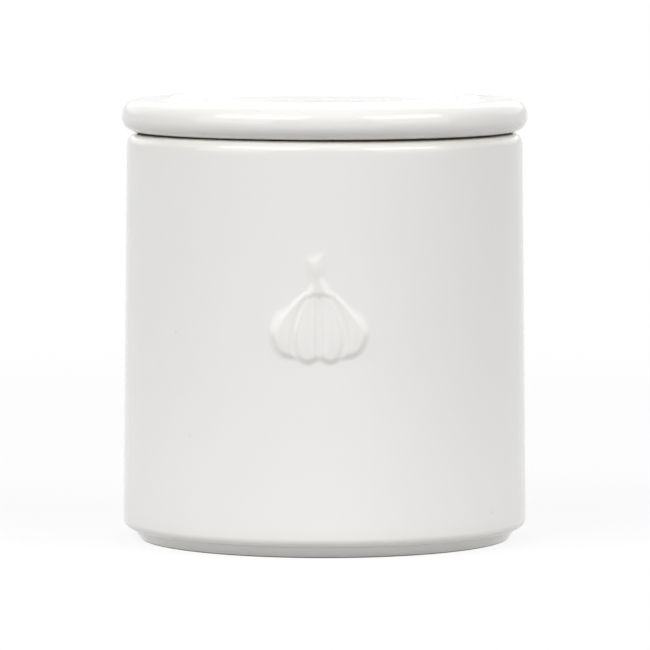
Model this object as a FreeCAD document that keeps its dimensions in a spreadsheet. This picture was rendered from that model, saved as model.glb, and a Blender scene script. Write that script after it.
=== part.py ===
import FreeCAD, Part
import math
import os
import re

import Sketcher

# Garlic keeper: a glazed stoneware jar and the flat lid that sits on its rim.
# Frame: origin at the centre of the face that the jar stands on, +Z up, the raised bulb faces -Y.
# Lengths are in millimetres and angles in degrees.

SIZES = {
    # Jar, outside
    "jar_height": 108.4,
    "body_radius": 53.85,
    "body_taper": 1.15,
    "shoulder_round": 3.0,
    "heel_round": 2.4,
    # Foot, which stands in from the heel and slants down to the ring that touches the table
    "foot_height": 3.0,
    "foot_setback": 0.1,
    "foot_slant": 2.2,
    "foot_edge_round": 0.7,
    "foot_ring_width": 6.0,
    "foot_recess": 1.5,
    # Jar, inside
    "wall_thickness": 5.6,
    "floor_thickness": 6.0,
    "floor_round": 8.0,
    "mouth_round": 0.8,
    # Air holes through the back of the wall
    "vent_diameter": 7.0,
    "vent_height": 62.0,
    "vent_step_angle": 20.0,
    "vent_count": 3,
    # Raised garlic bulb on the front
    "relief_height": 0.9,
    "bulb_width": 25.2,
    "bulb_height": 29.0,
    "bulb_bottom": 51.3,
    "clove_gap": 0.6,
    "stalk_width": 3.9,
    # Lid plate
    "lid_overhang": 1.3,
    "lid_thickness": 8.4,
    "web_thickness": 7.0,
    # Seat land, which stands the plate's edge off the rim
    "seat_gap": 0.34,
    "seat_width": 1.1,
    # Locating ring, which drops into the mouth
    "ring_clearance": 0.8,
    "ring_width": 4.5,
    "ring_depth": 6.5,
    "ring_round": 1.2,
    "ring_root_round": 2.0,
    # Low round beads on the lid's top
    "bead_radius": 42.2,
    "bead_step": 6.5,
    "bead_width": 2.0,
    "bead_height": 0.4,
    "bead_count": 3,
}

# Sizes that follow from the others
WALL_RADIUS_AT_TOP = "body_radius - body_taper"
MOUTH_RADIUS = "body_radius - body_taper - wall_thickness"
CREASE_RADIUS = "body_radius - heel_round - foot_setback"
CONTACT_RADIUS = CREASE_RADIUS + " - foot_slant"
RECESS_RADIUS = CONTACT_RADIUS + " - foot_ring_width"
LID_RADIUS = WALL_RADIUS_AT_TOP + " + lid_overhang"
LAND_RADIUS = MOUTH_RADIUS + " + mouth_round + seat_width"
RING_OUTER_RADIUS = MOUTH_RADIUS + " - ring_clearance"
RING_INNER_RADIUS = RING_OUTER_RADIUS + " - ring_width"
LID_TOP = "seat_gap + lid_thickness"
WEB_UNDERSIDE = LID_TOP + " - web_thickness"
NOSE_ROUND_BELOW = "0.45 * lid_thickness"
NOSE_ROUND_ABOVE = "0.49 * lid_thickness"

# The bulb's drawing, as shares of half its width, across, and of its height, up
INNER_TIP = (0.0, 0.64)
INNER_HEEL_SIDE = (0.0, 0.07)
INNER_HEEL_LOW = (0.21, 0.0)
INNER_HEEL_OUT = (0.43, 0.06)
INNER_SIDE = (0.50, 0.24)
OUTER_TIP = (0.06, 0.67)
OUTER_SLOPE = (0.50, 0.57)
OUTER_SHOULDER = (0.88, 0.44)
OUTER_SIDE = (0.99, 0.28)
OUTER_HIP = (0.91, 0.14)
OUTER_LOW = (0.69, 0.055)
OUTER_HEEL = (0.47, 0.05)
STALK_ROOT = (0.20, 0.565)
STALK_FLARE = (0.075, 0.64)
STALK_BEND_LEFT = (0.03, 0.76)
STALK_BEND_RIGHT = (-0.05, 0.76)
STALK_TOP_LEFT = (0.12, 0.93)
STALK_TOP_RIGHT = (-0.03, 0.975)

SHEET = "Sizes"
SHEET_ORIGIN = (-1, 1)
START, END, CENTRE = 1, 2, 3
FULL_TURN = 360.0


def make_sheet(doc):
    """The spreadsheet that holds the driving dimensions, one alias a row."""
    sheet = doc.addObject("Spreadsheet::Sheet", SHEET)
    for row, (name, value) in enumerate(SIZES.items(), start=1):
        sheet.set(f"A{row}", name)
        sheet.set(f"B{row}", str(value))
        sheet.setAlias(f"B{row}", name)
    doc.recompute()


def formula(words):
    """An expression of the sheet's cells, given with their bare names."""
    def cell(found):
        word = found.group()
        return f"{SHEET}.{word}" if word in SIZES else word
    return re.sub(r"[a-z_]+", cell, words)


def amount(owner, words):
    """The number that a formula gives now."""
    return float(owner.evalExpression(formula(words)))


def bind(owner, target, words):
    """Ties a property or a constraint to a formula of the sheet's cells."""
    owner.setExpression(target, formula(words))


def point_at(owner, place):
    """The point that a pair of formulas, across and up, gives now."""
    return FreeCAD.Vector(amount(owner, place[0]), amount(owner, place[1]), 0)


def make_sketch(body, name):
    """An empty sketch on the upright plane across the body's front."""
    sketch = body.newObject("Sketcher::SketchObject", name)
    plane = next(part for part in body.Origin.OriginFeatures if part.Role == "XZ_Plane")
    sketch.AttachmentSupport = [(plane, "")]
    sketch.MapMode = "FlatFace"
    return sketch


def constrain(sketch, kind, *details, words=None):
    """Adds a constraint, and ties its value to a formula if there is one."""
    if words is None:
        sketch.addConstraint(Sketcher.Constraint(kind, *details))
        return
    index = sketch.addConstraint(Sketcher.Constraint(kind, *details, amount(sketch, words)))
    bind(sketch, f"Constraints[{index}]", words)


def pin(sketch, geometry, end, place):
    """Holds a point of the sketch at the place that a pair of formulas gives."""
    constrain(sketch, "DistanceX", *SHEET_ORIGIN, geometry, end, words=place[0])
    constrain(sketch, "DistanceY", *SHEET_ORIGIN, geometry, end, words=place[1])


def pinned_point(sketch, place):
    """A construction point at the place that a pair of formulas gives."""
    point = sketch.addGeometry(Part.Point(point_at(sketch, place)), True)
    pin(sketch, point, START, place)
    return point


def add_arc(sketch, centre, first, last, left_turn):
    """Adds the arc from first to last. Returns it with the numbers of those two ends."""
    begin, finish = (first, last) if left_turn else (last, first)
    begin_angle = math.atan2(begin.y - centre.y, begin.x - centre.x)
    finish_angle = math.atan2(finish.y - centre.y, finish.x - centre.x)
    if finish_angle < begin_angle:
        finish_angle += 2 * math.pi
    circle = Part.Circle(centre, FreeCAD.Vector(0, 0, 1), (first - centre).Length)
    arc = sketch.addGeometry(Part.ArcOfCircle(circle, begin_angle, finish_angle))
    return (arc, START, END) if left_turn else (arc, END, START)


def turn_of(first, middle, last):
    """Above 0 where the way from first through middle to last turns left."""
    inward = middle - first
    outward = last - middle
    return inward.x * outward.y - inward.y * outward.x


def rounded_outline(sketch, corners):
    """A closed outline of straight lines. A corner is (across, up) or (across, up, round), all formulas."""
    count = len(corners)
    places = [point_at(sketch, corner) for corner in corners]
    rounds = [amount(sketch, corner[2]) if len(corner) > 2 else 0.0 for corner in corners]
    arrivals, departures, centres = [], [], []
    for index, corner in enumerate(places):
        back = (places[index - 1] - corner).normalize()
        ahead = (places[(index + 1) % count] - corner).normalize()
        half_angle = back.getAngle(ahead) / 2
        tangent_length = rounds[index] / math.tan(half_angle)
        arrivals.append(corner + back * tangent_length)
        departures.append(corner + ahead * tangent_length)
        centres.append(corner + (back + ahead).normalize() * (rounds[index] / math.sin(half_angle)))
    lines = []
    for index in range(count):
        line = Part.LineSegment(departures[index], arrivals[(index + 1) % count])
        lines.append(sketch.addGeometry(line))
    for index, corner in enumerate(corners):
        before, after = lines[index - 1], lines[index]
        if len(corner) < 3:
            constrain(sketch, "Coincident", before, END, after, START)
            pin(sketch, after, START, corner)
            continue
        left_turn = turn_of(places[index - 1], places[index], places[(index + 1) % count]) > 0
        arc, first, last = add_arc(sketch, centres[index], arrivals[index], departures[index], left_turn)
        constrain(sketch, "Tangent", before, END, arc, first)
        constrain(sketch, "Tangent", arc, last, after, START)
        constrain(sketch, "Radius", arc, words=corner[2])
        corner_point = pinned_point(sketch, corner)
        constrain(sketch, "PointOnObject", corner_point, START, before)
        constrain(sketch, "PointOnObject", corner_point, START, after)


def drawn_outline(sketch, strokes):
    """A closed outline of strokes (start, through). A stroke with no through point is a straight line."""
    count = len(strokes)
    edges = []
    for index, (start, through) in enumerate(strokes):
        first = point_at(sketch, start)
        last = point_at(sketch, strokes[(index + 1) % count][0])
        if through is None:
            edges.append((sketch.addGeometry(Part.LineSegment(first, last)), START, END))
            continue
        middle = point_at(sketch, through)
        centre = Part.ArcOfCircle(first, middle, last).Center
        left_turn = turn_of(first, middle, last) > 0
        edges.append(add_arc(sketch, centre, first, last, left_turn))
        on_the_way = pinned_point(sketch, through)
        constrain(sketch, "PointOnObject", on_the_way, START, edges[-1][0])
    for index, (edge, first, last) in enumerate(edges):
        previous, _, previous_last = edges[index - 1]
        constrain(sketch, "Coincident", previous, previous_last, edge, first)
        pin(sketch, edge, first, strokes[index][0])


def turn_profile(body, kind, name, sketch):
    """Turns a sketch round the body's upright axis, to add (Revolution) or to cut (Groove)."""
    feature = body.newObject(f"PartDesign::{kind}", name)
    feature.Profile = (sketch, [""])
    feature.ReferenceAxis = (sketch, ["V_Axis"])
    feature.Angle = FULL_TURN
    sketch.Visibility = False
    body.Tip = feature
    body.Document.recompute()
    return feature


def raise_profile(body, name, sketch, length):
    """Pads a sketch on the XZ plane towards the front, -Y."""
    pad = body.newObject("PartDesign::Pad", name)
    pad.Profile = (sketch, [""])
    bind(pad, "Length", length)
    sketch.Visibility = False
    body.Tip = pad
    body.Document.recompute()


def shape_jar_outside(body):
    """The solid form of the jar: foot, heel, wall and shoulder."""
    sketch = make_sketch(body, "jar_outside_outline")
    rounded_outline(sketch, [
        ("0", "0"),
        (CONTACT_RADIUS, "0", "foot_edge_round"),
        (CREASE_RADIUS, "foot_height"),
        ("body_radius", "foot_height", "heel_round"),
        (WALL_RADIUS_AT_TOP, "jar_height", "shoulder_round"),
        ("0", "jar_height"),
    ])
    turn_profile(body, "Revolution", "jar_outside", sketch)


def bulb_point(side, share, outward="0"):
    """A point of the bulb's drawing. Side is 1 to the right and -1 to the left."""
    across = f"{side} * ({share[0]} * bulb_width / 2 + {outward})"
    up = f"bulb_bottom + {share[1]} * bulb_height"
    return across, up


def draw_cloves(sketch):
    """Two inner cloves beside the middle line, and an outer one round each of them."""
    half_gap = "clove_gap / 2"
    for side in (1, -1):
        inner_tip = bulb_point(side, INNER_TIP, half_gap)
        drawn_outline(sketch, [
            (inner_tip, None),
            (bulb_point(side, INNER_HEEL_SIDE, half_gap), bulb_point(side, INNER_HEEL_LOW)),
            (bulb_point(side, INNER_HEEL_OUT), bulb_point(side, INNER_SIDE)),
        ])
        drawn_outline(sketch, [
            (bulb_point(side, OUTER_TIP, "clove_gap"), bulb_point(side, OUTER_SLOPE)),
            (bulb_point(side, OUTER_SHOULDER), bulb_point(side, OUTER_SIDE)),
            (bulb_point(side, OUTER_HIP), bulb_point(side, OUTER_LOW)),
            (bulb_point(side, OUTER_HEEL, "clove_gap"), bulb_point(side, INNER_SIDE, "clove_gap")),
        ])


def draw_stalk(sketch):
    """The stalk: it spreads into the cloves, leans a little to the left and ends in a slanting cut."""
    half_width = "stalk_width / 2"
    drawn_outline(sketch, [
        (bulb_point(1, STALK_ROOT, half_width), bulb_point(1, STALK_FLARE, half_width)),
        (bulb_point(1, STALK_BEND_RIGHT, half_width), None),
        (bulb_point(1, STALK_TOP_RIGHT, half_width), None),
        (bulb_point(-1, STALK_TOP_LEFT, half_width), None),
        (bulb_point(-1, STALK_BEND_LEFT, half_width), bulb_point(-1, STALK_FLARE, half_width)),
        (bulb_point(-1, STALK_ROOT, half_width), None),
    ])


def raise_bulb(body):
    """The bulb stands out of the wall by an even height, so what is padded is turned back to that height."""
    cloves = make_sketch(body, "clove_outlines")
    draw_cloves(cloves)
    raise_profile(body, "cloves", cloves, "body_radius + relief_height")
    stalk = make_sketch(body, "stalk_outline")
    draw_stalk(stalk)
    raise_profile(body, "stalk", stalk, "body_radius + relief_height")
    trim = make_sketch(body, "relief_height_outline")
    clear_of_pads = "body_radius + bulb_width"
    rounded_outline(trim, [
        ("body_radius + relief_height", "foot_height"),
        (clear_of_pads, "foot_height"),
        (clear_of_pads, "jar_height"),
        (WALL_RADIUS_AT_TOP + " + relief_height", "jar_height"),
    ])
    turn_profile(body, "Groove", "relief_turned_back", trim)


def hollow_jar(body):
    """The room for the garlic, with a rounded floor edge and a rounded mouth."""
    sketch = make_sketch(body, "hollow_outline")
    above_rim = "jar_height + mouth_round"
    beside_mouth = MOUTH_RADIUS + " + 2 * mouth_round"
    rounded_outline(sketch, [
        ("0", "floor_thickness"),
        ("body_radius - wall_thickness", "floor_thickness", "floor_round"),
        (MOUTH_RADIUS, "jar_height", "mouth_round"),
        (beside_mouth, "jar_height"),
        (beside_mouth, above_rim),
        ("0", above_rim),
    ])
    turn_profile(body, "Groove", "hollow", sketch)


def recess_foot(body):
    """The shallow recess under the floor, which leaves the ring that the jar stands on."""
    sketch = make_sketch(body, "foot_recess_outline")
    rounded_outline(sketch, [
        ("0", "0"),
        (RECESS_RADIUS, "0"),
        (RECESS_RADIUS + " - foot_recess", "foot_recess"),
        ("0", "foot_recess"),
    ])
    turn_profile(body, "Groove", "foot_recess", sketch)


def bore_vents(body):
    """A row of air holes through the back of the wall, +Y, evenly to both sides of the middle."""
    sketch = make_sketch(body, "vent_outline")
    sketch.AttachmentOffset = FreeCAD.Placement(FreeCAD.Vector(), FreeCAD.Rotation(FreeCAD.Vector(0, 1, 0), 1))
    bind(sketch, "AttachmentOffset.Rotation.Angle", "-(vent_count - 1) / 2 * vent_step_angle")
    circle = Part.Circle(FreeCAD.Vector(0, amount(sketch, "vent_height"), 0), FreeCAD.Vector(0, 0, 1), 1)
    hole = sketch.addGeometry(circle)
    constrain(sketch, "Diameter", hole, words="vent_diameter")
    pin(sketch, hole, CENTRE, ("0", "vent_height"))
    vent = body.newObject("PartDesign::Pocket", "vent")
    vent.Profile = (sketch, [""])
    vent.Reversed = False
    bind(vent, "Length", "body_radius + wall_thickness")
    sketch.Visibility = False
    body.Tip = vent
    body.Document.recompute()
    row = body.newObject("PartDesign::PolarPattern", "vent_row")
    row.Originals = [vent]
    upright = next(part for part in body.Origin.OriginFeatures if part.Role == "Z_Axis")
    row.Axis = (upright, [""])
    row.Mode = "Spacing"
    bind(row, "Offset", "vent_step_angle")
    bind(row, "Occurrences", "vent_count")
    body.Tip = row
    body.Document.recompute()


def make_jar(doc):
    """The jar, one piece of fired clay."""
    body = doc.addObject("PartDesign::Body", "jar")
    body.Label = "jar"
    shape_jar_outside(body)
    raise_bulb(body)
    hollow_jar(body)
    recess_foot(body)
    bore_vents(body)
    return body


def shape_lid_plate(body):
    """The plate with its round nose, the seat land and the locating ring. Up is 0 at the seat."""
    sketch = make_sketch(body, "lid_outline")
    rounded_outline(sketch, [
        ("0", WEB_UNDERSIDE),
        (RING_INNER_RADIUS, WEB_UNDERSIDE, "ring_root_round"),
        (RING_INNER_RADIUS, "-ring_depth", "ring_round"),
        (RING_OUTER_RADIUS, "-ring_depth", "ring_round"),
        (RING_OUTER_RADIUS, "0"),
        (LAND_RADIUS, "0"),
        (LAND_RADIUS, "seat_gap"),
        (LID_RADIUS, "seat_gap", NOSE_ROUND_BELOW),
        (LID_RADIUS, LID_TOP, NOSE_ROUND_ABOVE),
        ("0", LID_TOP),
    ])
    turn_profile(body, "Revolution", "lid_plate", sketch)


def raise_beads(body):
    """Low round beads on the lid's top, rooted as deep as they are high."""
    sketch = make_sketch(body, "bead_outlines")
    for number in range(int(amount(sketch, "bead_count"))):
        middle = f"bead_radius - {number} * bead_step"
        inside = middle + " - bead_width / 2"
        outside = middle + " + bead_width / 2"
        root = LID_TOP + " - bead_height"
        drawn_outline(sketch, [
            ((outside, LID_TOP), (middle, LID_TOP + " + bead_height")),
            ((inside, LID_TOP), None),
            ((inside, root), None),
            ((outside, root), None),
        ])
    turn_profile(body, "Revolution", "lid_beads", sketch)


def make_lid(doc):
    """The lid, one piece of fired clay, modelled from its seat and placed on the jar's rim."""
    body = doc.addObject("PartDesign::Body", "lid")
    body.Label = "lid"
    shape_lid_plate(body)
    raise_beads(body)
    bind(body, "Placement.Base.z", "jar_height")
    doc.recompute()
    return body


def check_features(body):
    """Stops the build where a cut removes nothing or an addition adds nothing."""
    volume = 0.0
    for feature in body.Group:
        if feature.TypeId == "Sketcher::SketchObject":
            continue
        cuts = feature.TypeId in ("PartDesign::Groove", "PartDesign::Pocket", "PartDesign::PolarPattern")
        change = feature.Shape.Volume - volume
        print(f"{body.Label}: {feature.Label} changes the volume by {change:.1f} mm3")
        if (change < 0) != cuts:
            raise RuntimeError(f"{feature.Label} does not change {body.Label} as it should")
        volume = feature.Shape.Volume


def check_document(doc, bodies):
    """Stops the build at a failed object or a bad shape."""
    failed = [item.Label for item in doc.Objects if {"Invalid", "Error"} & set(item.State)]
    if failed:
        raise RuntimeError(f"failed objects: {failed}")
    for body in bodies:
        shape = body.Shape
        if shape.isNull() or not shape.isValid() or len(shape.Solids) != 1:
            raise RuntimeError(f"{body.Label} is not one valid solid")
        check_features(body)


def write_parts(bodies):
    """Writes each piece to its own file."""
    os.makedirs("parts", exist_ok=True)
    for body in bodies:
        body.Shape.exportStep(f"parts/{body.Label}.step")
        box = body.Shape.optimalBoundingBox()
        print(f"{body.Label}: {box.XLength:.2f} x {box.YLength:.2f} mm, from z {box.ZMin:.2f} to {box.ZMax:.2f}")


def main():
    doc = FreeCAD.newDocument("garlic_keeper")
    make_sheet(doc)
    bodies = [make_jar(doc), make_lid(doc)]
    doc.recompute()
    check_document(doc, bodies)
    write_parts(bodies)


main()
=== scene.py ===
import cmath
import math

import bmesh
import bpy
import numpy as np
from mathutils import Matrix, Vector


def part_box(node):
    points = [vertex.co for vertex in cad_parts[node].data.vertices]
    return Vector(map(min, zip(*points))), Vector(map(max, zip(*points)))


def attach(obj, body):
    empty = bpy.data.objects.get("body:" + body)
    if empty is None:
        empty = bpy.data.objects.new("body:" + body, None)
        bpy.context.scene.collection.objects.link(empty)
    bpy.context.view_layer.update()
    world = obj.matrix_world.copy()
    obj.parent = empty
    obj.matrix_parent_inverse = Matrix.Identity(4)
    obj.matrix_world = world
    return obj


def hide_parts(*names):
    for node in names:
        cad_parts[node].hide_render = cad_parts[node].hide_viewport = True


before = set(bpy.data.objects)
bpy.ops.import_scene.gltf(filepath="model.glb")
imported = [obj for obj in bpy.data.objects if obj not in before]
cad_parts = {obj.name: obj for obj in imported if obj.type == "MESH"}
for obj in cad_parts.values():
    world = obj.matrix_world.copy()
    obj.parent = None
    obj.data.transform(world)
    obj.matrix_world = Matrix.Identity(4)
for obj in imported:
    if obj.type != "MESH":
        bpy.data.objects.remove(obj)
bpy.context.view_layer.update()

# A glazed stoneware garlic keeper: a round jar, and a flat lid that sits on its rim.
# Lengths are in metres and written in mm. The front looks along -Y, and the jar stands on Z = 0.

MM = 0.001

# Sizes that the frame gives
JAR_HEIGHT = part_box("jar")[1].z
LID_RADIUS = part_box("lid")[1].x

# Jar, outside
BODY_RADIUS = 53.85 * MM
BODY_TAPER = 1.15 * MM
SHOULDER_ROUND = 3.0 * MM
HEEL_ROUND = 2.4 * MM
FOOT_HEIGHT = 3.0 * MM
FOOT_SETBACK = 0.1 * MM
FOOT_SLANT = 2.2 * MM
FOOT_EDGE_ROUND = 0.7 * MM
FOOT_CREASE_ROUND = 0.7 * MM
FOOT_RING_WIDTH = 6.0 * MM
FOOT_RECESS = 1.5 * MM
WALL_RADIUS_AT_TOP = BODY_RADIUS - BODY_TAPER
CREASE_RADIUS = BODY_RADIUS - HEEL_ROUND - FOOT_SETBACK
CONTACT_RADIUS = CREASE_RADIUS - FOOT_SLANT
RECESS_RADIUS = CONTACT_RADIUS - FOOT_RING_WIDTH

# Jar, inside
WALL_THICKNESS = 5.6 * MM
FLOOR_THICKNESS = 6.0 * MM
FLOOR_ROUND = 8.0 * MM
MOUTH_ROUND = 0.8 * MM
MOUTH_RADIUS = WALL_RADIUS_AT_TOP - WALL_THICKNESS
FLOOR_RADIUS = BODY_RADIUS - WALL_THICKNESS

# Air holes through the back of the wall, angles in degrees
VENT_RADIUS = 3.5 * MM
VENT_HEIGHT = 62.0 * MM
VENT_STEP_ANGLE = 20
VENT_COUNT = 3
VENT_EDGE_ROUND = 0.8 * MM

# The piece of wall round each air hole that is meshed anew: half its height, half its width as an angle,
# where its rings lie as shares of the way in to the hole's edge, and the steps on that edge's round
VENT_PATCH = 6.6 * MM
VENT_PATCH_ANGLE = 7
VENT_RING_SHARES = (0.35, 0.7)
VENT_EDGE_STEPS = 6

# Raised garlic bulb on the front
RELIEF_HEIGHT = 0.9 * MM
BULB_WIDTH = 25.2 * MM
BULB_HEIGHT = 29.0 * MM
BULB_BOTTOM = 51.3 * MM
CLOVE_GAP = 0.6 * MM
STALK_WIDTH = 3.9 * MM
RELIEF_MARGIN = 1.5 * MM

# How the bulb rises from the wall: its slope starts outside the drawn outline and ends inside it
SLOPE_OUTSIDE = 0.7 * MM
STEEP_SLOPE = 0.9 * MM
GENTLE_SLOPE = 4.2 * MM
STALK_SLOPE = 1.8 * MM

# The slope is steep up to one share of the bulb's height and gentle from another on, where the cloves
# stand out less by a share of their own
STEEP_UP_TO = 0.2
GENTLE_FROM = 0.5
CLOVE_FADE = 0.35

# The stalk sinks by this share toward its cut end, between these shares of the bulb's height
STALK_FADE = 0.45
STALK_FADE_START = 0.80
STALK_FADE_END = 0.97

# The last share of the height is a crown that is reached only well inside the outline
CROWN_WIDTH = 4.0 * MM
CROWN_SHARE = 0.2

# Between two cloves a groove takes the slope's place
GROOVE_WIDTH = 0.5 * MM
GROOVE_SHARE = 0.5
SEAM_REACH = 2.0 * MM

# How many times the glaze evens the relief out
SOFTEN_ROUNDS = 2

# The bulb's drawing, as shares of half its width, across, and of its height, up
INNER_TIP = (0.0, 0.64)
INNER_HEEL_SIDE = (0.0, 0.07)
INNER_HEEL_LOW = (0.21, 0.0)
INNER_HEEL_OUT = (0.43, 0.06)
INNER_SIDE = (0.50, 0.24)
OUTER_TIP = (0.06, 0.67)
OUTER_SLOPE = (0.50, 0.57)
OUTER_SHOULDER = (0.88, 0.44)
OUTER_SIDE = (0.99, 0.28)
OUTER_HIP = (0.91, 0.14)
OUTER_LOW = (0.69, 0.055)
OUTER_HEEL = (0.47, 0.05)
STALK_ROOT = (0.20, 0.565)
STALK_FLARE = (0.075, 0.64)
STALK_BEND_LEFT = (0.03, 0.76)
STALK_BEND_RIGHT = (-0.05, 0.76)
STALK_TOP_LEFT = (0.12, 0.93)
STALK_TOP_RIGHT = (-0.03, 0.975)

# Lid
LID_THICKNESS = 8.4 * MM
WEB_THICKNESS = 7.0 * MM
SEAT_GAP = 0.34 * MM
SEAT_WIDTH = 1.1 * MM
RING_CLEARANCE = 0.8 * MM
RING_WIDTH = 4.5 * MM
RING_DEPTH = 6.5 * MM
RING_ROUND = 1.2 * MM
RING_ROOT_ROUND = 2.0 * MM
SEAT_EDGE_ROUND = 0.25 * MM
NOSE_ROUND_BELOW = 0.45 * LID_THICKNESS
NOSE_ROUND_ABOVE = 0.49 * LID_THICKNESS
LID_UNDERSIDE = JAR_HEIGHT + SEAT_GAP
LID_TOP = LID_UNDERSIDE + LID_THICKNESS
WEB_UNDERSIDE = LID_TOP - WEB_THICKNESS
RING_END = JAR_HEIGHT - RING_DEPTH
LAND_RADIUS = MOUTH_RADIUS + MOUTH_ROUND + SEAT_WIDTH
RING_OUTER_RADIUS = MOUTH_RADIUS - RING_CLEARANCE
RING_INNER_RADIUS = RING_OUTER_RADIUS - RING_WIDTH
BEAD_RADIUS = 42.2 * MM
BEAD_STEP = 6.5 * MM
BEAD_WIDTH = 3.0 * MM
BEAD_HEIGHT = 0.4 * MM
BEAD_COUNT = 3
BEAD_POINTS = 14

# The fired rim isn't quite level, so the gap under the lid's edge is wider here and narrower there.
# The dip starts at the edge of the lid's seat and is whole this far outside it.
RIM_DIP = 0.2 * MM
DIP_FADE = 1.0 * MM
DIP_COUNT = 3
DIP_ANGLE = 35

# Mesh: angles in degrees, and the step on a round in radians
ARC_STEP = math.radians(7.5)
FINE_STEP = 0.3 * MM
WALL_STEP = 4.0 * MM
LONG_STRETCH = 50.0 * MM
BACK_ZONE = 30
BACK_STEP = 1.0
SIDE_STEP = 2.5
HALF_TURN = 180
OUTLINE_STEPS = 24
BARE_FOOT_HEIGHT = 0.3 * MM
TINY = 0.01 * MM


def rounded_line(corners):
    """A line through corners (across, up) or (across, up, round), with close points on each round."""
    places = [complex(corner[0], corner[1]) for corner in corners]
    points = [places[0]]
    for number, corner in enumerate(corners[1:-1], start=1):
        place = places[number]
        if len(corner) < 3:
            points.append(place)
            continue
        back = places[number - 1] - place
        ahead = places[number + 1] - place
        back /= abs(back)
        ahead /= abs(ahead)
        between = cmath.phase(ahead / back)
        half_angle = abs(between) / 2
        centre = place + (back + ahead) / abs(back + ahead) * corner[2] / math.sin(half_angle)
        start = place + back * corner[2] / math.tan(half_angle)
        turn = math.copysign(math.pi - 2 * half_angle, -between)
        steps = max(2, math.ceil(abs(turn) / ARC_STEP))
        for step in range(steps + 1):
            points.append(centre + (start - centre) * cmath.rect(1, turn * step / steps))
    points.append(places[-1])
    return [(point.real, point.imag) for point in points]


def arc_points(first, middle, last):
    """Points on the arc from first through middle, up to but without last."""
    first, middle, last = complex(*first), complex(*middle), complex(*last)
    ratio = (last - first) / (middle - first)
    centre = first + (middle - first) * (ratio - abs(ratio) ** 2) / (2j * ratio.imag)
    to_middle = cmath.phase((middle - centre) / (first - centre))
    to_last = cmath.phase((last - centre) / (middle - centre))
    turn = to_middle + to_last
    points = []
    for step in range(OUTLINE_STEPS):
        point = centre + (first - centre) * cmath.rect(1, turn * step / OUTLINE_STEPS)
        points.append((point.real, point.imag))
    return points


def drawn_outline(strokes):
    """A closed outline of strokes (start, through). A stroke with no through point is a straight line."""
    outline = []
    for number, (start, through) in enumerate(strokes):
        end = strokes[(number + 1) % len(strokes)][0]
        outline.extend([start] if through is None else arc_points(start, through, end))
    return outline


def bulb_point(side, share, outward=0.0):
    """A point of the bulb's drawing. Side is 1 to the right and -1 to the left."""
    across = side * (share[0] * BULB_WIDTH / 2 + outward)
    up = BULB_BOTTOM + share[1] * BULB_HEIGHT
    return across, up


def clove_outlines():
    """Two inner cloves beside the middle line, and an outer one round each of them."""
    outlines = []
    for side in (1, -1):
        outlines.append(drawn_outline([
            (bulb_point(side, INNER_TIP, CLOVE_GAP / 2), None),
            (bulb_point(side, INNER_HEEL_SIDE, CLOVE_GAP / 2), bulb_point(side, INNER_HEEL_LOW)),
            (bulb_point(side, INNER_HEEL_OUT), bulb_point(side, INNER_SIDE)),
        ]))
        outlines.append(drawn_outline([
            (bulb_point(side, OUTER_TIP, CLOVE_GAP), bulb_point(side, OUTER_SLOPE)),
            (bulb_point(side, OUTER_SHOULDER), bulb_point(side, OUTER_SIDE)),
            (bulb_point(side, OUTER_HIP), bulb_point(side, OUTER_LOW)),
            (bulb_point(side, OUTER_HEEL, CLOVE_GAP), bulb_point(side, INNER_SIDE, CLOVE_GAP)),
        ]))
    return outlines


def stalk_outline():
    """The stalk: it spreads into the cloves, leans a little to the left and ends in a slanting cut."""
    half_width = STALK_WIDTH / 2
    return drawn_outline([
        (bulb_point(1, STALK_ROOT, half_width), bulb_point(1, STALK_FLARE, half_width)),
        (bulb_point(1, STALK_BEND_RIGHT, half_width), None),
        (bulb_point(1, STALK_TOP_RIGHT, half_width), None),
        (bulb_point(-1, STALK_TOP_LEFT, half_width), None),
        (bulb_point(-1, STALK_BEND_LEFT, half_width), bulb_point(-1, STALK_FLARE, half_width)),
        (bulb_point(-1, STALK_ROOT, half_width), None),
    ])


def depth_inside(outline, across, up):
    """How far each point lies inside a closed outline. Below 0 it lies outside."""
    nearest = np.full(across.shape, np.inf)
    inside = np.zeros(across.shape, bool)
    for number, (start_across, start_up) in enumerate(outline):
        end_across, end_up = outline[(number + 1) % len(outline)]
        run = end_across - start_across
        rise = end_up - start_up
        share = ((across - start_across) * run + (up - start_up) * rise) / (run ** 2 + rise ** 2)
        share = np.clip(share, 0, 1)
        aside = np.hypot(across - start_across - share * run, up - start_up - share * rise)
        nearest = np.minimum(nearest, aside)
        if rise:
            level = (start_up > up) != (end_up > up)
            inside ^= level & (across < start_across + (up - start_up) * run / rise)
    return np.where(inside, nearest, -nearest)


def soft_step(value, low, high):
    """Rises smoothly from 0 at low to 1 at high."""
    share = np.clip((value - low) / (high - low), 0, 1)
    return share * share * (3 - 2 * share)


def soften(heights, rounds):
    """Evens a grid of heights out, as thick glaze does."""
    for _ in range(rounds):
        padded = np.pad(heights, 1, mode="edge")
        heights = (padded[:-2, 1:-1] + padded[2:, 1:-1] + padded[1:-1, :-2] + padded[1:-1, 2:]) / 4
    return heights


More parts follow.
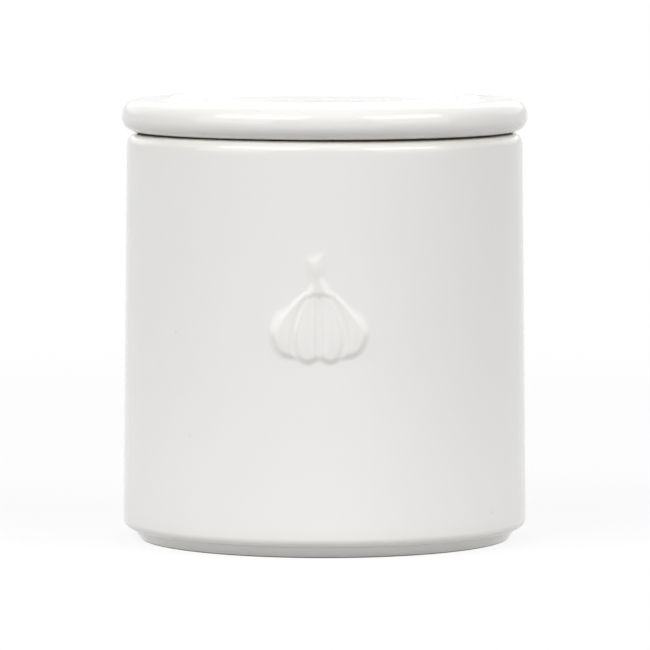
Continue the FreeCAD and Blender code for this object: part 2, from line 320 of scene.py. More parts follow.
def relief_heights(across, up):
    """How far the bulb stands out at each point of a grid of places on the front."""
    depths = np.sort([depth_inside(outline, across, up) for outline in clove_outlines()], axis=0)
    own, neighbour = depths[-1], depths[-2]
    height_share = (up - BULB_BOTTOM) / BULB_HEIGHT
    gentle = soft_step(height_share, STEEP_UP_TO, GENTLE_FROM)
    slope = soft_step(own, -SLOPE_OUTSIDE, STEEP_SLOPE + (GENTLE_SLOPE - STEEP_SLOPE) * gentle)
    groove = 1 - GROOVE_SHARE * np.exp(-((own + CLOVE_GAP / 2) / GROOVE_WIDTH) ** 2)
    beside_neighbour = soft_step(own + neighbour, -SEAM_REACH, -CLOVE_GAP)
    cloves = slope + (groove - slope) * beside_neighbour
    cloves *= 1 - CLOVE_FADE * gentle
    stalk_depth = depth_inside(stalk_outline(), across, up)
    stalk = soft_step(stalk_depth, -SLOPE_OUTSIDE, STALK_SLOPE)
    stalk *= 1 - STALK_FADE * soft_step(height_share, STALK_FADE_START, STALK_FADE_END)
    crown = soft_step(np.maximum(own, stalk_depth), 0, CROWN_WIDTH)
    shares = np.maximum(cloves, stalk) * (1 - CROWN_SHARE + CROWN_SHARE * crown)
    return RELIEF_HEIGHT * soften(shares, SOFTEN_ROUNDS)


def spaced(start, end, step):
    """Even steps from start up to, but without, end."""
    count = max(1, round((end - start) / step))
    return [start + (end - start) * number / count for number in range(count)]


def column_angles():
    """Angles round the jar in degrees from the front, close together at the relief and at the air holes."""
    reach = BULB_WIDTH / 2 + RELIEF_MARGIN
    front = math.degrees(math.asin(reach / BODY_RADIUS))
    fine = math.degrees(FINE_STEP / BODY_RADIUS)
    back = HALF_TURN - BACK_ZONE
    angles = spaced(-HALF_TURN, -back, BACK_STEP)
    angles += spaced(-back, -front, SIDE_STEP)
    angles += spaced(-front, front, fine)
    angles += spaced(front, back, SIDE_STEP)
    angles += spaced(back, HALF_TURN, BACK_STEP)
    return angles


def wall_heights():
    """Heights of the rows on the straight wall, close together where the relief is."""
    low = BULB_BOTTOM - RELIEF_MARGIN
    high = BULB_BOTTOM + BULB_HEIGHT + RELIEF_MARGIN
    return spaced(0, low, WALL_STEP) + spaced(low, high, FINE_STEP) + spaced(high, JAR_HEIGHT, WALL_STEP)


def with_wall_rows(line):
    """Puts the wall's rows into the long upright stretches of a line."""
    heights = wall_heights()
    rows = [line[0]]
    for (start_across, start_up), (end_across, end_up) in zip(line, line[1:]):
        rise = end_up - start_up
        if abs(rise) > LONG_STRETCH:
            between = [height for height in heights if min(start_up, end_up) < height < max(start_up, end_up)]
            for height in between if rise > 0 else reversed(between):
                share = (height - start_up) / rise
                rows.append((start_across + share * (end_across - start_across), height))
        rows.append((end_across, end_up))
    return rows


def around(radius, angle, up):
    """The point at an angle in degrees from the front, seen from above against the clock."""
    return Vector((radius * math.sin(math.radians(angle)), -radius * math.cos(math.radians(angle)), up))


def turned_rows(builder, rows, angles, shape):
    """A ring of vertices for each row, or one vertex where a row is on the axis."""
    grid = []
    for number, (across, up) in enumerate(rows):
        if across < TINY:
            grid.append([builder.verts.new((0, 0, up))] * len(angles))
            continue
        ring = []
        for column, angle in enumerate(angles):
            radius, height = shape(number, column, across, up)
            ring.append(builder.verts.new(around(radius, angle, height)))
        grid.append(ring)
    return grid


def skin(builder, grid, is_bare, left_out=()):
    """Faces between the rows. Bare clay is the second material."""
    count = len(grid[0])
    for row, (lower, upper) in enumerate(zip(grid, grid[1:])):
        bare = is_bare(row)
        for column in range(count):
            if (row, column) in left_out:
                continue
            beside = (column + 1) % count
            corners = [lower[column], lower[beside], upper[beside], upper[column]]
            face = builder.faces.new(list(dict.fromkeys(corners)))
            face.material_index = 1 if bare else 0


def bridge(builder, outer_ring, inner_ring):
    """A band of faces between two rings of as many vertices."""
    count = len(outer_ring)
    for number in range(count):
        beside = (number + 1) % count
        builder.faces.new([outer_ring[number], outer_ring[beside], inner_ring[beside], inner_ring[number]])


def wall_radius(up, low_radius, low_height, high_radius):
    """The radius of a straight tapering wall at a height."""
    share = (up - low_height) / (JAR_HEIGHT - low_height)
    return low_radius + share * (high_radius - low_radius)


def outer_radius(up):
    return wall_radius(up, BODY_RADIUS, FOOT_HEIGHT, WALL_RADIUS_AT_TOP)


def inner_radius(up):
    return wall_radius(up, FLOOR_RADIUS, FLOOR_THICKNESS, MOUTH_RADIUS)


class VentPatch:
    """The piece of wall round one air hole, which the hole's own rings of vertices take the place of."""

    def __init__(self, angles, centre_angle):
        self.centre_angle = centre_angle
        self.columns = [
            column for column, angle in enumerate(angles)
            if abs(self.aside(angle)) < VENT_PATCH_ANGLE + BACK_STEP / 2
        ]
        self.columns.sort(key=lambda column: self.aside(angles[column]))

    def aside(self, angle):
        """How far an angle is from the hole's, between half a turn back and half a turn ahead."""
        return (angle - self.centre_angle + HALF_TURN) % (2 * HALF_TURN) - HALF_TURN

    def rows_in(self, rows, upward):
        """The numbers of the wall's rows beside the hole, lowest first."""
        found = []
        for number in range(1, len(rows) - 1):
            rising = rows[number + 1][1] > rows[number - 1][1]
            if rising == upward and abs(rows[number][1] - VENT_HEIGHT) < VENT_PATCH:
                found.append(number)
        return found if upward else found[::-1]

    def cells(self, row_numbers):
        """The faces that are left out: (row, column) of each."""
        lowest = min(row_numbers)
        highest = max(row_numbers)
        return {(row, column) for row in range(lowest, highest) for column in self.columns[:-1]}

    def rim(self, grid, row_numbers):
        """The vertices round the patch, from its lower left corner, against the clock seen from outside."""
        left, right = self.columns[0], self.columns[-1]
        bottom, top = row_numbers[0], row_numbers[-1]
        ring = [grid[bottom][column] for column in self.columns[:-1]]
        ring += [grid[row][right] for row in row_numbers[:-1]]
        ring += [grid[top][column] for column in self.columns[:0:-1]]
        ring += [grid[row][left] for row in row_numbers[:0:-1]]
        return ring

    def flat_place(self, vertex):
        """Where a vertex is, across and up from the hole's middle."""
        radius = math.hypot(vertex.co.x, vertex.co.y)
        angle = math.degrees(math.atan2(vertex.co.x, -vertex.co.y))
        return complex(radius * math.sin(math.radians(self.aside(angle))), vertex.co.z - VENT_HEIGHT)

    def ring_at(self, builder, places, radius_at, depth):
        """Vertices at flat places, sunk by a depth into a wall."""
        ring = []
        for place in places:
            up = VENT_HEIGHT + place.imag
            radius = radius_at(up) - depth
            aside = math.degrees(math.asin(place.real / radius))
            ring.append(builder.verts.new(around(radius, self.centre_angle + aside, up)))
        return ring


def cut_vent(builder, patch, outer_rim, inner_rim):
    """The hole's rings: across the outer wall, round its edge, through the wall and out on the inner wall."""
    outer_places = [patch.flat_place(vertex) for vertex in outer_rim]
    inner_places = [patch.flat_place(vertex) for vertex in inner_rim]
    directions = [place / abs(place) for place in outer_places]
    wide = VENT_RADIUS + VENT_EDGE_ROUND

    def toward_hole(places, share):
        """Places moved by a share of the way to the hole's outer edge."""
        return [place + share * (direction * wide - place) for place, direction in zip(places, directions)]

    rings = [outer_rim]
    for share in VENT_RING_SHARES:
        rings.append(patch.ring_at(builder, toward_hole(outer_places, share), outer_radius, 0.0))
    edge = []
    for step in range(VENT_EDGE_STEPS + 1):
        slant = math.pi / 2 * step / VENT_EDGE_STEPS
        hole_radius = wide - VENT_EDGE_ROUND * math.sin(slant)
        edge.append((hole_radius, VENT_EDGE_ROUND * (1 - math.cos(slant))))
    for hole_radius, depth in edge:
        circle = [direction * hole_radius for direction in directions]
        rings.append(patch.ring_at(builder, circle, outer_radius, depth))
    for hole_radius, depth in reversed(edge):
        circle = [direction * hole_radius for direction in directions]
        rings.append(patch.ring_at(builder, circle, inner_radius, -depth))
    for share in reversed(VENT_RING_SHARES):
        rings.append(patch.ring_at(builder, toward_hole(inner_places, share), inner_radius, 0.0))
    rings.append(inner_rim)
    for outer_ring, inner_ring in zip(rings, rings[1:]):
        bridge(builder, outer_ring, inner_ring)


def vent_patches(rows, angles):
    """Each air hole's patch, with the numbers of the outer wall's rows in it and of the inner wall's."""
    patches = []
    for number in range(VENT_COUNT):
        centre_angle = HALF_TURN + (number - (VENT_COUNT - 1) / 2) * VENT_STEP_ANGLE
        patch = VentPatch(angles, centre_angle)
        patches.append((patch, patch.rows_in(rows, True), patch.rows_in(rows, False)))
    return patches


def drop_inside(builder, patch, grid, row_numbers):
    """Takes away the wall's own vertices inside a patch, which no face uses."""
    for row in row_numbers[1:-1]:
        for column in patch.columns[1:-1]:
            builder.verts.remove(grid[row][column])


def mark_bends(builder):
    """Keeps how sharply the surface bends at each vertex, per mm: above 0 on an edge, below 0 in a hollow."""
    builder.normal_update()
    bend = builder.verts.layers.float.new("bend")
    for vertex in builder.verts:
        total = 0.0
        for edge in vertex.link_edges:
            away = edge.other_vert(vertex).co - vertex.co
            total -= 2 * away.dot(vertex.normal) / max(away.length_squared, TINY ** 2)
        vertex[bend] = total / max(1, len(vertex.link_edges)) * MM


def finish_piece(builder, name, body, node, materials):
    """Turns the mesh into the piece that stands for a node and rides on its body."""
    mark_bends(builder)
    mesh = bpy.data.meshes.new(name)
    builder.to_mesh(mesh)
    builder.free()
    for polygon in mesh.polygons:
        polygon.use_smooth = True
    for material in materials:
        mesh.materials.append(material)
    piece = bpy.data.objects.new(name, mesh)
    bpy.context.scene.collection.objects.link(piece)
    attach(piece, body)
    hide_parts(node)


def jar_rows():
    """The jar's section, from under its floor out over the foot, up the wall, and down inside."""
    return with_wall_rows(rounded_line([
        (0, FOOT_RECESS),
        (RECESS_RADIUS - FOOT_RECESS, FOOT_RECESS, FOOT_RECESS / 2),
        (RECESS_RADIUS, 0, FOOT_EDGE_ROUND),
        (CONTACT_RADIUS, 0, FOOT_EDGE_ROUND),
        (CREASE_RADIUS, FOOT_HEIGHT, FOOT_CREASE_ROUND),
        (BODY_RADIUS, FOOT_HEIGHT, HEEL_ROUND),
        (WALL_RADIUS_AT_TOP, JAR_HEIGHT, SHOULDER_ROUND),
        (MOUTH_RADIUS, JAR_HEIGHT, MOUTH_ROUND),
        (FLOOR_RADIUS, FLOOR_THICKNESS, FLOOR_ROUND),
        (0, FLOOR_THICKNESS),
    ]))


def relief_on_rows(rows, angles):
    """The bulb's height at each (row, column) of the outer wall that it touches."""
    low = BULB_BOTTOM - RELIEF_MARGIN - TINY
    high = BULB_BOTTOM + BULB_HEIGHT + RELIEF_MARGIN
    reach = BULB_WIDTH / 2 + RELIEF_MARGIN + TINY
    numbers = [
        number for number in range(1, len(rows) - 1)
        if low < rows[number][1] < high and rows[number + 1][1] > rows[number - 1][1]
    ]
    columns = [
        column for column, angle in enumerate(angles)
        if abs(angle) < HALF_TURN / 2 and abs(BODY_RADIUS * math.sin(math.radians(angle))) < reach
    ]
    radii = np.array([rows[number][0] for number in numbers])
    sines = np.sin(np.radians([angles[column] for column in columns]))
    across = radii[:, None] * sines[None, :]
    up = np.array([rows[number][1] for number in numbers])[:, None] + np.zeros(across.shape)
    heights = relief_heights(across, up)
    return {
        (number, column): heights[row_place, column_place]
        for row_place, number in enumerate(numbers)
        for column_place, column in enumerate(columns)
    }


def rim_dip(across, up, angle):
    """How far the rim's outer edge lies below its highest line, where the lid doesn't rest on it."""
    if across < LAND_RADIUS or up < JAR_HEIGHT - SHOULDER_ROUND:
        return 0.0
    wave = (1 + math.cos(math.radians(DIP_COUNT * (angle - DIP_ANGLE)))) / 2
    rise = (up - JAR_HEIGHT + SHOULDER_ROUND) / SHOULDER_ROUND
    outward = min(1.0, (across - LAND_RADIUS) / DIP_FADE)
    return RIM_DIP * wave * rise * outward


def make_jar(materials):
    """The jar: turned section, raised bulb on the front, air holes at the back."""
    rows = jar_rows()
    angles = column_angles()
    relief = relief_on_rows(rows, angles)
    builder = bmesh.new()

    def shape(number, column, across, up):
        """The bulb stands out from the wall, and the rim dips."""
        return across + relief.get((number, column), 0.0), up - rim_dip(across, up, angles[column])

    def is_bare(row):
        """Bare clay shows under the foot and on top of the rim."""
        ends = (rows[row][1], rows[row + 1][1])
        return max(ends) < BARE_FOOT_HEIGHT or min(ends) > JAR_HEIGHT - TINY

    grid = turned_rows(builder, rows, angles, shape)
    patches = vent_patches(rows, angles)
    left_out = set()
    for patch, outer_numbers, inner_numbers in patches:
        left_out |= patch.cells(outer_numbers) | patch.cells(inner_numbers)
    skin(builder, grid, is_bare, left_out)
    for patch, outer_numbers, inner_numbers in patches:
        cut_vent(builder, patch, patch.rim(grid, outer_numbers), patch.rim(grid, inner_numbers))
        drop_inside(builder, patch, grid, outer_numbers)
        drop_inside(builder, patch, grid, inner_numbers)
    finish_piece(builder, "glazed_jar", "jar", "jar", materials)


def bead_points():
    """The low round beads on the lid's top, from the widest inward."""
    points = []
    for number in range(BEAD_COUNT):
        middle = BEAD_RADIUS - number * BEAD_STEP
        for step in range(BEAD_POINTS + 1):
            share = 2 * step / BEAD_POINTS - 1
            rise = BEAD_HEIGHT * (1 + math.cos(math.pi * share)) / 2
            points.append((middle - share * BEAD_WIDTH / 2, LID_TOP + rise))
    return points


def lid_rows():
    """The lid's section, from the middle of its underside out round the edge to the middle of its top."""
    return rounded_line([
        (0, WEB_UNDERSIDE),
        (RING_INNER_RADIUS, WEB_UNDERSIDE, RING_ROOT_ROUND),
        (RING_INNER_RADIUS, RING_END, RING_ROUND),
        (RING_OUTER_RADIUS, RING_END, RING_ROUND),
        (RING_OUTER_RADIUS, JAR_HEIGHT, SEAT_EDGE_ROUND),
        (LAND_RADIUS, JAR_HEIGHT),
        (LAND_RADIUS, LID_UNDERSIDE),
        (LID_RADIUS, LID_UNDERSIDE, NOSE_ROUND_BELOW),
        (LID_RADIUS, LID_TOP, NOSE_ROUND_ABOVE),
        *bead_points(),
        (0, LID_TOP),
    ])


def make_lid(materials):
    """The lid: a turned plate with a round edge, beads on top, a seat and a locating ring below."""
    rows = lid_rows()
    angles = spaced(-HALF_TURN, HALF_TURN, BACK_STEP)
    builder = bmesh.new()

    def shape(_number, _column, across, up):
        """The lid is the same all round."""
        return across, up

    def is_bare(row):
        """Bare clay shows on the seat land, beside the locating ring."""
        ends = rows[row:row + 2]
        return all(
            across > RING_OUTER_RADIUS - TINY and JAR_HEIGHT - TINY < up < LID_UNDERSIDE + TINY
            for across, up in ends
        )

    grid = turned_rows(builder, rows, angles, shape)
    skin(builder, grid, is_bare)
    finish_piece(builder, "glazed_lid", "lid", "lid", materials)


# White glaze: colours of 0 to 255 a channel, and the lowest and highest tint and roughness
GLAZE_WHITE = (238, 237, 235)
THIN_GLAZE = (224, 220, 210)
GLAZE_TINT = (0.985, 1.015)
GLAZE_ROUGHNESS = (0.06, 0.14)
GLAZE_IOR = 1.5
CLOUD_SIZE = 35 * MM
PATCH_SIZE = 6 * MM
RIPPLE_SIZE = 9 * MM
RIPPLE_HEIGHT = 0.03 * MM
THINNING_ON_EDGES = 0.9
PINHOLE_BROWN = (165, 158, 146)
PINHOLE_SPACING = 9 * MM
PINHOLE_RADIUS = 0.22 * MM
PINHOLE_STRENGTH = 0.8

# Bare fired clay, in a tan dark enough to also paint the shade in the slit under the lid and along the foot's
# contact line
CLAY_TAN_AND_PAINTED_SHADE = (150, 131, 107)
CLAY_SPECK = (126, 106, 82)
CLAY_TINT = (0.92, 1.05)
CLAY_ROUGHNESS = (0.75, 0.95)
GRAIN_SIZE = 0.7 * MM
GRAIN_HEIGHT = 0.08 * MM
GRIT_SPACING = 2.2 * MM
GRIT_RADIUS = 0.25 * MM

# The share of a speck's radius inside which it is full strength
SPECK_CORE = 0.4

# The numbers of a Mix node's colour sockets, which share their names with its other sockets
FIRST_COLOUR = 6
SECOND_COLOUR = 7
MIXED_COLOUR = 2


def linear(colour):
    """A screen colour of 0 to 255 a channel, turned into linear values by the sRGB curve."""
    channels = []
    for value in colour:
        share = value / 255
        channels.append(share / 12.92 if share <= 0.04045 else ((share + 0.055) / 1.055) ** 2.4)
    return (*channels, 1.0)


def add_node(tree, kind, **settings):
    """A node of a kind, with its settings."""
    node = tree.nodes.new(kind)
    for name, value in settings.items():
        setattr(node, name, value)
    return node


def calculate(tree, operation, first, second=None, clamp=False):
    """A Math node. Each of its two values is a socket or a number."""
    node = add_node(tree, "ShaderNodeMath", operation=operation, use_clamp=clamp)
    for socket, value in zip(node.inputs, (first, second)):
        if isinstance(value, bpy.types.NodeSocket):
            tree.links.new(value, socket)
        elif value is not None:
            socket.default_value = value
    return node.outputs[0]


def new_group(name, inputs, output, kind):
    """An empty node group with number inputs and one output."""
    group = bpy.data.node_groups.new(name, "ShaderNodeTree")
    for label, value in inputs.items():
        socket = group.interface.new_socket(label, in_out="INPUT", socket_type="NodeSocketFloat")
        socket.default_value = value
    group.interface.new_socket(output, in_out="OUTPUT", socket_type=kind)
    entry = group.nodes.new("NodeGroupInput")
    exit_node = group.nodes.new("NodeGroupOutput")
    return group, entry, exit_node


def surface_place(tree):
    """The place on the piece, in metres."""
    return tree.nodes.new("ShaderNodeTexCoord").outputs["Object"]


def cloud_group():
    """Slow change over the surface, from 0 to 1."""
    group, entry, exit_node = new_group("clouding", {"Size": 0.02, "Detail": 2.0}, "Value", "NodeSocketFloat")
    noise = add_node(group, "ShaderNodeTexNoise", noise_dimensions="3D")
    group.links.new(surface_place(group), noise.inputs["Vector"])
    group.links.new(calculate(group, "DIVIDE", 1.0, entry.outputs["Size"]), noise.inputs["Scale"])
    group.links.new(entry.outputs["Detail"], noise.inputs["Detail"])
    group.links.new(noise.outputs["Fac"], exit_node.inputs["Value"])
    return group


def speck_group():
    """Sparse small specks: 1 in a speck and 0 beside it."""
    inputs = {"Spacing": 0.008, "Radius": 0.0002}
    group, entry, exit_node = new_group("specks", inputs, "Mask", "NodeSocketFloat")
    cells = add_node(group, "ShaderNodeTexVoronoi", feature="F1", voronoi_dimensions="3D")
    group.links.new(surface_place(group), cells.inputs["Vector"])
    scale = calculate(group, "DIVIDE", 1.0, entry.outputs["Spacing"])
    group.links.new(scale, cells.inputs["Scale"])
    reach = calculate(group, "MULTIPLY", entry.outputs["Radius"], scale)
    edge = add_node(group, "ShaderNodeMapRange", interpolation_type="SMOOTHSTEP")
    group.links.new(cells.outputs["Distance"], edge.inputs["Value"])
    group.links.new(calculate(group, "MULTIPLY", reach, SPECK_CORE), edge.inputs["From Min"])
    group.links.new(reach, edge.inputs["From Max"])
    edge.inputs["To Min"].default_value = 1.0
    edge.inputs["To Max"].default_value = 0.0
    group.links.new(edge.outputs["Result"], exit_node.inputs["Mask"])
    return group


def place_group(tree, group, **values):
    """A group placed in a material with its own values."""
    node = add_node(tree, "ShaderNodeGroup", node_tree=group)
    for name, value in values.items():
        node.inputs[name].default_value = value
    return node.outputs[0]


def mix_colours(tree, mask, first, second):
    """First where the mask is 0 and second where it is 1. Each is a colour or a socket."""
    node = add_node(tree, "ShaderNodeMix", data_type="RGBA")
    tree.links.new(mask, node.inputs["Factor"])
    for socket, value in ((node.inputs[FIRST_COLOUR], first), (node.inputs[SECOND_COLOUR], second)):
        if isinstance(value, bpy.types.NodeSocket):
            tree.links.new(value, socket)
        else:
            socket.default_value = value
    return node.outputs[MIXED_COLOUR]


def spread(tree, value, low, high):
    """Turns 0 to 1 into low to high."""
    return calculate(tree, "ADD", calculate(tree, "MULTIPLY", value, high - low), low)


def tinted(tree, colour, value, dark, light):
    """A colour made a little darker or lighter by a value of 0 to 1."""
    node = add_node(tree, "ShaderNodeHueSaturation")
    if isinstance(colour, bpy.types.NodeSocket):
        tree.links.new(colour, node.inputs["Color"])
    else:
        node.inputs["Color"].default_value = colour
    tree.links.new(spread(tree, value, dark, light), node.inputs["Value"])
    return node.outputs["Color"]


def bumped(tree, height, distance):
    """The surface's normal, moved by a height of 0 to 1 times a distance."""
    node = tree.nodes.new("ShaderNodeBump")
    node.inputs["Distance"].default_value = distance
    tree.links.new(height, node.inputs["Height"])
    return node.outputs["Normal"]


def new_material(name):
    """A material with a plain shader, returned with its tree and that shader."""
    material = bpy.data.materials.new(name)
    material.use_nodes = True
    tree = material.node_tree
    return material, tree, tree.nodes["Principled BSDF"]


def glaze_material(clouding, specks):
    """White glaze: glassy, a little uneven, thinner and warmer on edges, with a few pinholes."""
    material, tree, shader = new_material("white_glaze")
    shader.inputs["IOR"].default_value = GLAZE_IOR
    bend = add_node(tree, "ShaderNodeAttribute", attribute_name="bend").outputs["Fac"]
    thin = calculate(tree, "MULTIPLY", bend, THINNING_ON_EDGES, clamp=True)
    slow = place_group(tree, clouding, Size=CLOUD_SIZE, Detail=2.0)
    colour = mix_colours(tree, thin, linear(GLAZE_WHITE), linear(THIN_GLAZE))
    colour = tinted(tree, colour, slow, *GLAZE_TINT)
    specked = place_group(tree, specks, Spacing=PINHOLE_SPACING, Radius=PINHOLE_RADIUS)
    pinholes = calculate(tree, "MULTIPLY", specked, PINHOLE_STRENGTH)
    colour = mix_colours(tree, pinholes, colour, linear(PINHOLE_BROWN))
    tree.links.new(colour, shader.inputs["Base Color"])
    patchy = place_group(tree, clouding, Size=PATCH_SIZE, Detail=4.0)
    tree.links.new(spread(tree, patchy, *GLAZE_ROUGHNESS), shader.inputs["Roughness"])
    ripple = place_group(tree, clouding, Size=RIPPLE_SIZE, Detail=1.0)
    dimpled = calculate(tree, "SUBTRACT", ripple, pinholes)
    tree.links.new(bumped(tree, dimpled, RIPPLE_HEIGHT), shader.inputs["Normal"])
    return material


def clay_and_painted_shade_material(clouding, specks):
    """Bare fired clay, where the foot stands on the kiln shelf and the lid on the jar. Its tan is dark enough
    to also paint the shade in the slit under the lid and along the foot's contact line.
    """
    material, tree, shader = new_material("bare_clay_and_painted_shade")
    grain = place_group(tree, clouding, Size=GRAIN_SIZE, Detail=5.0)
    colour = tinted(tree, linear(CLAY_TAN_AND_PAINTED_SHADE), grain, *CLAY_TINT)
    grit = place_group(tree, specks, Spacing=GRIT_SPACING, Radius=GRIT_RADIUS)
    colour = mix_colours(tree, grit, colour, linear(CLAY_SPECK))
    tree.links.new(colour, shader.inputs["Base Color"])
    tree.links.new(spread(tree, grain, *CLAY_ROUGHNESS), shader.inputs["Roughness"])
    tree.links.new(bumped(tree, grain, GRAIN_HEIGHT), shader.inputs["Normal"])
    return material


# Studio: lengths in metres, angles in degrees and azimuths from the front
AMBIENT = 0.22
PANEL_DISTANCE = 1.5

# The backdrop is white at eye level and below, and turns a little greyer between these sines of the angle up
BACKDROP_LOW = 0.0
BACKDROP_HIGH = 0.05
BACKDROP_TOP = 0.92

# Seen directly, the floor glows by this share near the object, where it keeps the shadow, and wholly far off
FLOOR_SIZE = 14.0
FLOOR_ROUGHNESS = 0.9
FLOOR_WHITE = (250, 250, 250)
FLOOR_GLOW = 0.85
SHADOW_REACH = 0.25
SHADOW_FADE = 0.7

# The floor throws this much back at the object: right beside the foot, near it and far off. This is painted
# light: a painted shade right beside the foot, and a painted pool of light near the object that is brighter
# than far off
FLOOR_CONTACT_PAINTED_SHADE = (188, 188, 188)
FLOOR_NEAR_PAINTED_POOL = (206, 206, 206)
FLOOR_FAR = (120, 120, 120)
PAINTED_SHADE_REACH = 0.054
PAINTED_SHADE_FADE = 0.08
PAINTED_POOL_REACH = 0.07
PAINTED_POOL_FADE = 0.3


def smooth_share(tree, value, low, high):
    """Turns a value into a share that rises smoothly from 0 at low to 1 at high."""
    rise = add_node(tree, "ShaderNodeMapRange", interpolation_type="SMOOTHSTEP")
    tree.links.new(value, rise.inputs["Value"])
    rise.inputs["From Min"].default_value = low
    rise.inputs["From Max"].default_value = high
    return rise.outputs["Result"]


def seen_directly(tree):
    """1 for what the camera, a mirror or glass sees, and 0 for the light that falls on the object."""
    path = tree.nodes.new("ShaderNodeLightPath")
    total = calculate(tree, "ADD", path.outputs["Is Camera Ray"], path.outputs["Is Glossy Ray"])
    return calculate(tree, "ADD", total, path.outputs["Is Transmission Ray"], clamp=True)


def light_the_world():
    """Even light from all round, in front of a white background that is a little greyer high up."""
    world = bpy.data.worlds.new("studio")
    bpy.context.scene.world = world
    world.use_nodes = True
    tree = world.node_tree
    tree.nodes.clear()
    ambient = tree.nodes.new("ShaderNodeBackground")
    ambient.inputs["Strength"].default_value = AMBIENT
    white = tree.nodes.new("ShaderNodeBackground")
    direction = tree.nodes.new("ShaderNodeSeparateXYZ")
    tree.links.new(tree.nodes.new("ShaderNodeTexCoord").outputs["Generated"], direction.inputs[0])
    above_horizon = smooth_share(tree, direction.outputs["Z"], BACKDROP_LOW, BACKDROP_HIGH)
    tree.links.new(spread(tree, above_horizon, 1.0, BACKDROP_TOP), white.inputs["Strength"])
    for background in (ambient, white):
        background.inputs["Color"].default_value = (1, 1, 1, 1)
    mix = tree.nodes.new("ShaderNodeMixShader")
    output = tree.nodes.new("ShaderNodeOutputWorld")
    tree.links.new(seen_directly(tree), mix.inputs[0])
    tree.links.new(ambient.outputs[0], mix.inputs[1])
    tree.links.new(white.outputs[0], mix.inputs[2])
    tree.links.new(mix.outputs[0], output.inputs["Surface"])


def soft_panel(name, azimuth, elevation, width, height, brightness):
    """A soft light panel that faces the object's middle."""
    light = bpy.data.lights.new(name, "AREA")
    light.shape = "RECTANGLE"
    light.size = width
    light.size_y = height
    light.energy = brightness * math.pi * width * height
    panel = bpy.data.objects.new(name, light)
    bpy.context.scene.collection.objects.link(panel)
    out = PANEL_DISTANCE * math.cos(math.radians(elevation))
    target = Vector((0, 0, JAR_HEIGHT / 2))
    panel.location = target + around(out, azimuth, PANEL_DISTANCE * math.sin(math.radians(elevation)))
    panel.rotation_euler = (target - panel.location).to_track_quat("-Z", "Y").to_euler()
    panel.visible_camera = False


def light_the_object():
    """Two bright panels high in front, two weaker ones below them, and two dim ones behind."""
    soft_panel("left_key_panel", azimuth=-42, elevation=44, width=1.23, height=0.5, brightness=5.8)
    soft_panel("right_key_panel", azimuth=54, elevation=42, width=1.07, height=0.5, brightness=4.9)
    soft_panel("left_fill_panel", azimuth=-52, elevation=17, width=1.3, height=0.8, brightness=1.65)
    soft_panel("right_fill_panel", azimuth=54, elevation=17, width=1.3, height=0.8, brightness=1.5)
    soft_panel("back_left_panel", azimuth=-165, elevation=32, width=2.0, height=1.2, brightness=0.46)
    soft_panel("back_right_panel", azimuth=165, elevation=32, width=2.0, height=1.2, brightness=0.46)


def distance_share(tree, near, far):
    """0 nearer to the object's axis than near, rising smoothly to 1 at far, in metres."""
    from_middle = add_node(tree, "ShaderNodeVectorMath", operation="LENGTH")
    tree.links.new(surface_place(tree), from_middle.inputs[0])
    return smooth_share(tree, from_middle.outputs["Value"], near, far)


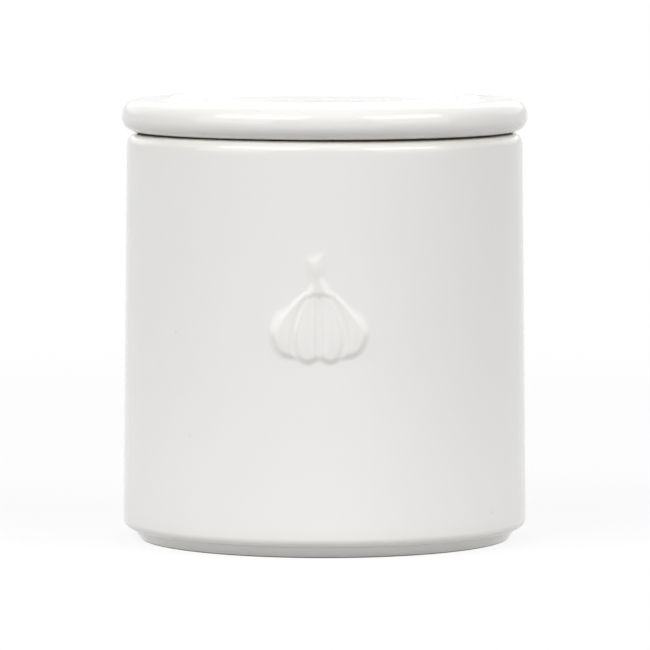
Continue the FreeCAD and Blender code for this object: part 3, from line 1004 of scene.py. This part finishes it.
def lay_floor():
    """A pale floor that looks white and keeps the object's shadow. The light it throws back has painted shade
    right beside the foot and a painted pool of light near the object.
    """
    mesh = bpy.data.meshes.new("floor")
    half = FLOOR_SIZE / 2
    corners = [(-half, -half, 0), (half, -half, 0), (half, half, 0), (-half, half, 0)]
    mesh.from_pydata(corners, [], [(0, 1, 2, 3)])
    floor = bpy.data.objects.new("floor", mesh)
    bpy.context.scene.collection.objects.link(floor)
    material, tree, shader = new_material("floor_white")
    directly = seen_directly(tree)
    # The light the floor throws back is painted: darker right beside the foot as painted shade, brighter near
    # the object as a painted pool of light, dimmer far off
    past_painted_shade = distance_share(tree, PAINTED_SHADE_REACH, PAINTED_SHADE_FADE)
    bounce_with_painted_light = mix_colours(tree, past_painted_shade, linear(FLOOR_CONTACT_PAINTED_SHADE), linear(FLOOR_NEAR_PAINTED_POOL))
    away = distance_share(tree, PAINTED_POOL_REACH, PAINTED_POOL_FADE)
    bounce_with_painted_light = mix_colours(tree, away, bounce_with_painted_light, linear(FLOOR_FAR))
    colour = mix_colours(tree, directly, bounce_with_painted_light, linear(FLOOR_WHITE))
    tree.links.new(colour, shader.inputs["Base Color"])
    shader.inputs["Roughness"].default_value = FLOOR_ROUGHNESS
    shader.inputs["Specular IOR Level"].default_value = 0.0
    glow = tree.nodes.new("ShaderNodeEmission")
    glow.inputs["Strength"].default_value = 1.0
    mix = tree.nodes.new("ShaderNodeMixShader")
    glow_share = spread(tree, distance_share(tree, SHADOW_REACH, SHADOW_FADE), FLOOR_GLOW, 1.0)
    tree.links.new(calculate(tree, "MULTIPLY", directly, glow_share), mix.inputs[0])
    tree.links.new(shader.outputs[0], mix.inputs[1])
    tree.links.new(glow.outputs[0], mix.inputs[2])
    tree.links.new(mix.outputs[0], tree.nodes["Material Output"].inputs["Surface"])
    mesh.materials.append(material)


# Camera, at the photograph's viewing angle: lengths in metres, angles in degrees, and the photograph's pixels
CAMERA_DISTANCE = 1.6
CAMERA_HEIGHT = 0.1851
CAMERA_PITCH = 4.584
CAMERA_AZIMUTH = 1.6
SENSOR_MM = 36
FRAME_PIXELS = 650
FOCAL_PIXELS = 6010
AXIS_LEFT_OF_MIDDLE = 0.3


def set_camera():
    """A long lens a little above the lid, looking slightly down."""
    camera = bpy.data.cameras.new("camera")
    camera.sensor_width = SENSOR_MM
    camera.lens = camera.sensor_width * FOCAL_PIXELS / FRAME_PIXELS
    camera.clip_end = 2 * FLOOR_SIZE
    holder = bpy.data.objects.new("camera", camera)
    bpy.context.scene.collection.objects.link(holder)
    holder.location = around(CAMERA_DISTANCE, CAMERA_AZIMUTH, CAMERA_HEIGHT)
    turn = math.radians(CAMERA_AZIMUTH) - math.atan(AXIS_LEFT_OF_MIDDLE / FOCAL_PIXELS)
    holder.rotation_euler = (math.pi / 2 - math.radians(CAMERA_PITCH), 0, turn)
    bpy.context.scene.camera = holder


# The whole scene

clouding = cloud_group()
specks = speck_group()
finishes = [glaze_material(clouding, specks), clay_and_painted_shade_material(clouding, specks)]
make_jar(finishes)
make_lid(finishes)
lay_floor()
light_the_world()
light_the_object()
set_camera()
bpy.context.scene.view_settings.view_transform = "Standard"
